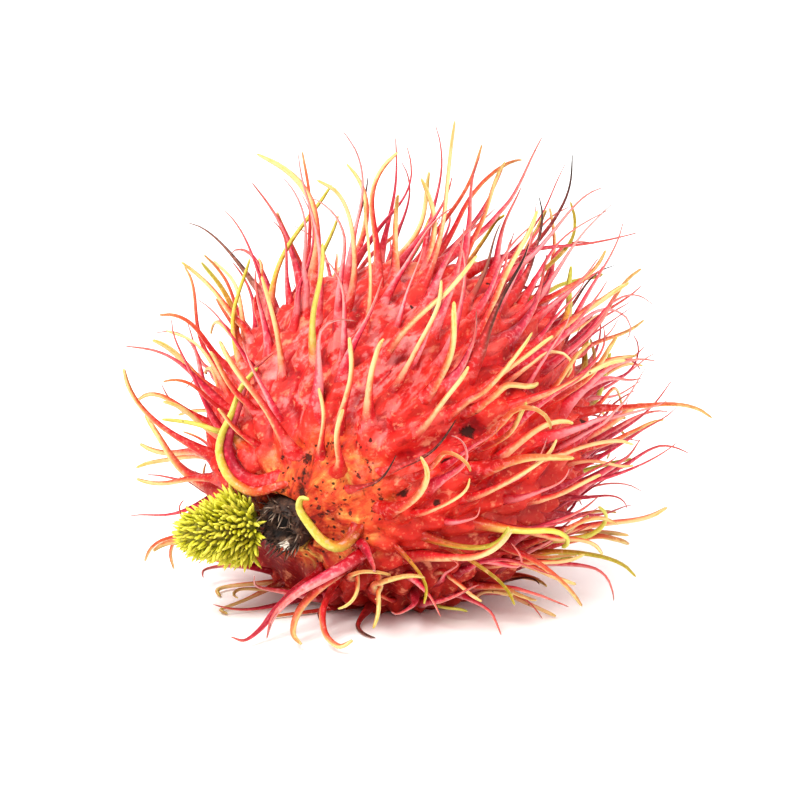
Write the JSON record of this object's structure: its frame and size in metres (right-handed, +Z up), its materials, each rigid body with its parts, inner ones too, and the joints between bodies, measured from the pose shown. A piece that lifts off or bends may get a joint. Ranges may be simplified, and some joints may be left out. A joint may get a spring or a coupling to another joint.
{
  "type": "rambutan",
  "caption": "Whole ripe rambutan lying on its side, red rind covered in long soft yellow-tipped spinterns, broken stalk end and a green bristly undeveloped fruitlet.",
  "frame": {"origin": "centre of the small flat spot that the fruit lies on, on the ground", "axes": "+Z up; the stem end points forward (-Y), to the left (-X) and a little down; the far end points back, right and up"},
  "size_m": [0.0746, 0.0741, 0.0537],
  "materials": {
    "rind": "waxy satin red skin, orange near the stalk",
    "spintern": "soft satin spines, red at the root and yellow-green at the tip",
    "stalk": "dry dark brown broken end",
    "fruitlet": "satin yellow-green bristles"
  },
  "bodies": {
    "root": {"fruit": "rind", "stalk_end": "stalk", "undeveloped_fruitlet": "fruitlet"}
  },
  "joints": []
}
